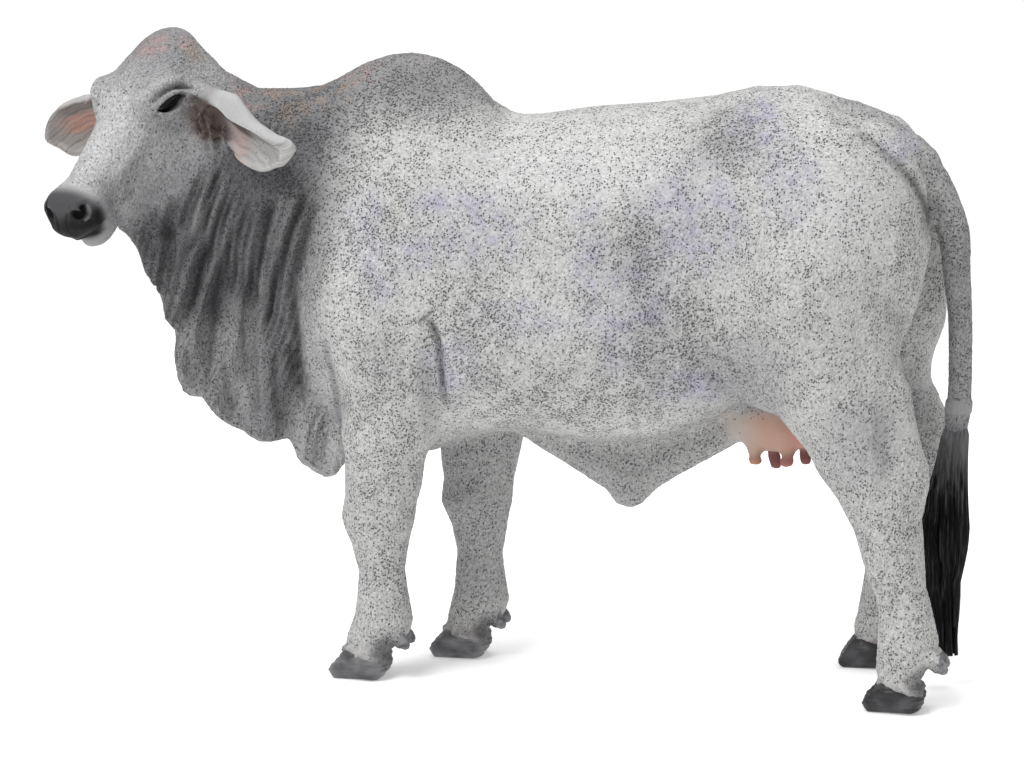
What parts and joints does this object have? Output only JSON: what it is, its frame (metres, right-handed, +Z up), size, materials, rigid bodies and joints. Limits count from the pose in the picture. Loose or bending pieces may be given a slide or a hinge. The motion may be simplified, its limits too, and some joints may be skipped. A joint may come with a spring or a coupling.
{
  "type": "moulded toy brahman cow figure",
  "caption": "Painted moulded toy figure of a standing grey Brahman cow with a shoulder hump, folded dewlap, drooping ears, udder and tail switch, head turned to her left.",
  "frame": {"origin": "middle of the footprint box, on the plane that the soles stand on", "axes": "+Z up; the cow faces -X and her left side is -Y; X is the length"},
  "size_m": [0.1442, 0.0496, 0.0985],
  "materials": {
    "light_coat": "painted moulded vinyl, stippled coat with a dark wash in the pits",
    "dark_coat": "painted moulded vinyl, darker wash over the folds",
    "hoof_paint": "dark grey paint, satin",
    "eye_gloss": "glossy black paint",
    "udder_paint": "skin-pink paint, satin",
    "switch_paint": "black paint over sculpted hair, satin"
  },
  "bodies": {
    "root": {"head": "light_coat", "ear_left": "light_coat", "ear_right": "light_coat", "eye_left": "eye_gloss", "eye_right": "eye_gloss", "neck": "dark_coat", "dewlap": "dark_coat", "hump": "light_coat", "torso": "light_coat", "navel_flap": "light_coat", "udder": "udder_paint", "foreleg_left": "light_coat", "foreleg_right": "light_coat", "hindleg_left": "light_coat", "hindleg_right": "light_coat", "foreleg_left_claw_outer": "hoof_paint", "foreleg_left_claw_inner": "hoof_paint", "foreleg_right_claw_outer": "hoof_paint", "foreleg_right_claw_inner": "hoof_paint", "hindleg_left_claw_outer": "hoof_paint", "hindleg_left_claw_inner": "hoof_paint", "hindleg_right_claw_outer": "hoof_paint", "hindleg_right_claw_inner": "hoof_paint", "foreleg_left_dewclaw_outer": "hoof_paint", "foreleg_left_dewclaw_inner": "hoof_paint", "foreleg_right_dewclaw_outer": "hoof_paint", "foreleg_right_dewclaw_inner": "hoof_paint", "hindleg_left_dewclaw_outer": "hoof_paint", "hindleg_left_dewclaw_inner": "hoof_paint", "hindleg_right_dewclaw_outer": "hoof_paint", "hindleg_right_dewclaw_inner": "hoof_paint", "tail": "light_coat", "tail_switch": "switch_paint"}
  },
  "joints": []
}
